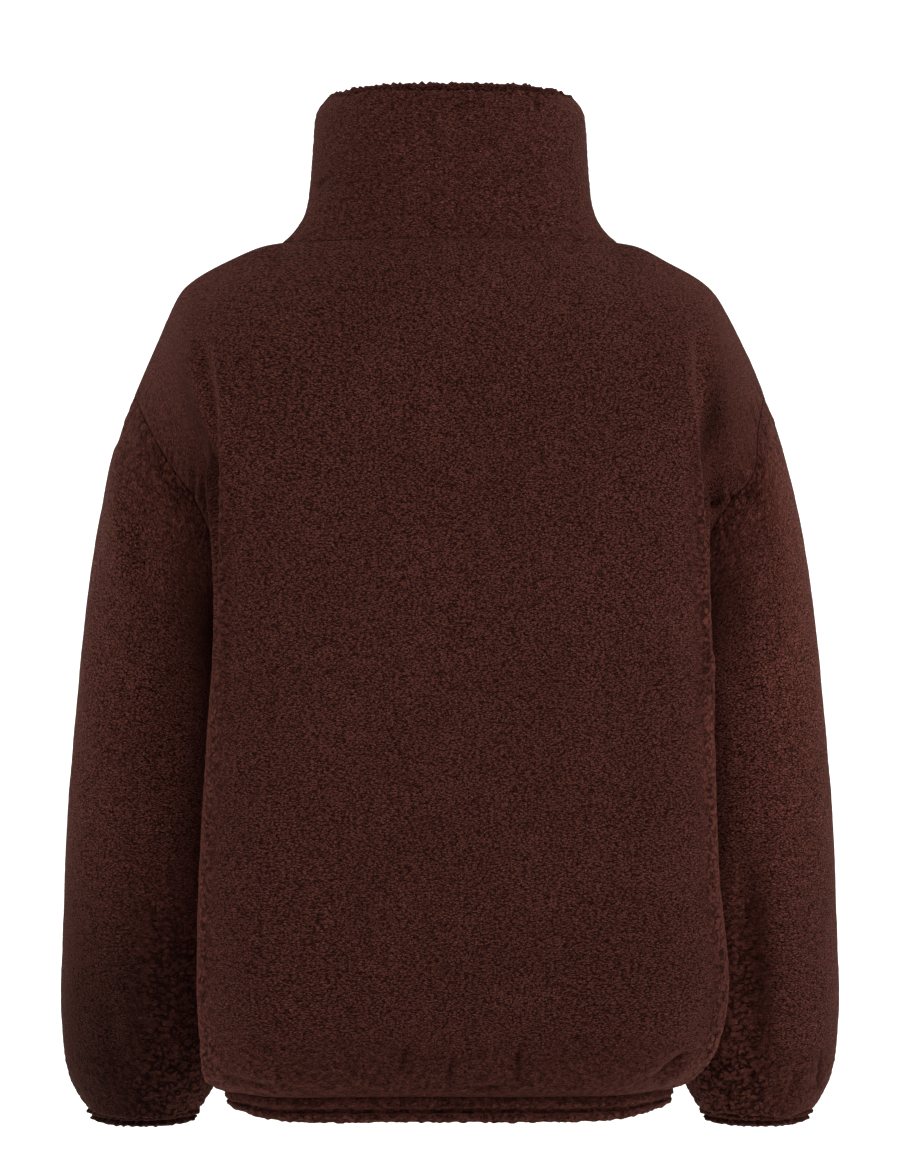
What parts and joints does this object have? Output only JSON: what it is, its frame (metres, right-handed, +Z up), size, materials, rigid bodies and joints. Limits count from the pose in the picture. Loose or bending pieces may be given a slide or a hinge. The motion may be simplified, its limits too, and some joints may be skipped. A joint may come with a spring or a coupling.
{
  "type": "fleece top",
  "caption": "Curly pile fleece pullover with a high stand collar, drop shoulders, full sleeves and a drawn-in hem band, in worn shape with nobody inside.",
  "frame": {"origin": "on the body's middle line, level with the neck seam at the centre back, where the wearer's shoulders and neck hold the top", "axes": "+Z up, -Y out of the back, +Y out of the front, +X the wearer's right as seen from the back"},
  "size_m": [0.5994, 0.264, 0.7969],
  "materials": {
    "back_panel": "dark brown curly pile fleece, matt",
    "front_panel": "dark brown curly pile fleece, matt",
    "sleeve_left": "dark brown curly pile fleece, matt",
    "sleeve_right": "dark brown curly pile fleece, matt",
    "collar": "dark brown curly pile fleece, matt",
    "hem_band": "dark brown curly pile fleece, matt",
    "cuff_left": "dark brown curly pile fleece, matt",
    "cuff_right": "dark brown curly pile fleece, matt"
  },
  "bodies": {
    "root": {"back_panel": "back_panel", "front_panel": "front_panel", "sleeve_left": "sleeve_left", "sleeve_right": "sleeve_right", "collar": "collar", "hem_band": "hem_band", "cuff_left": "cuff_left", "cuff_right": "cuff_right"}
  },
  "joints": []
}
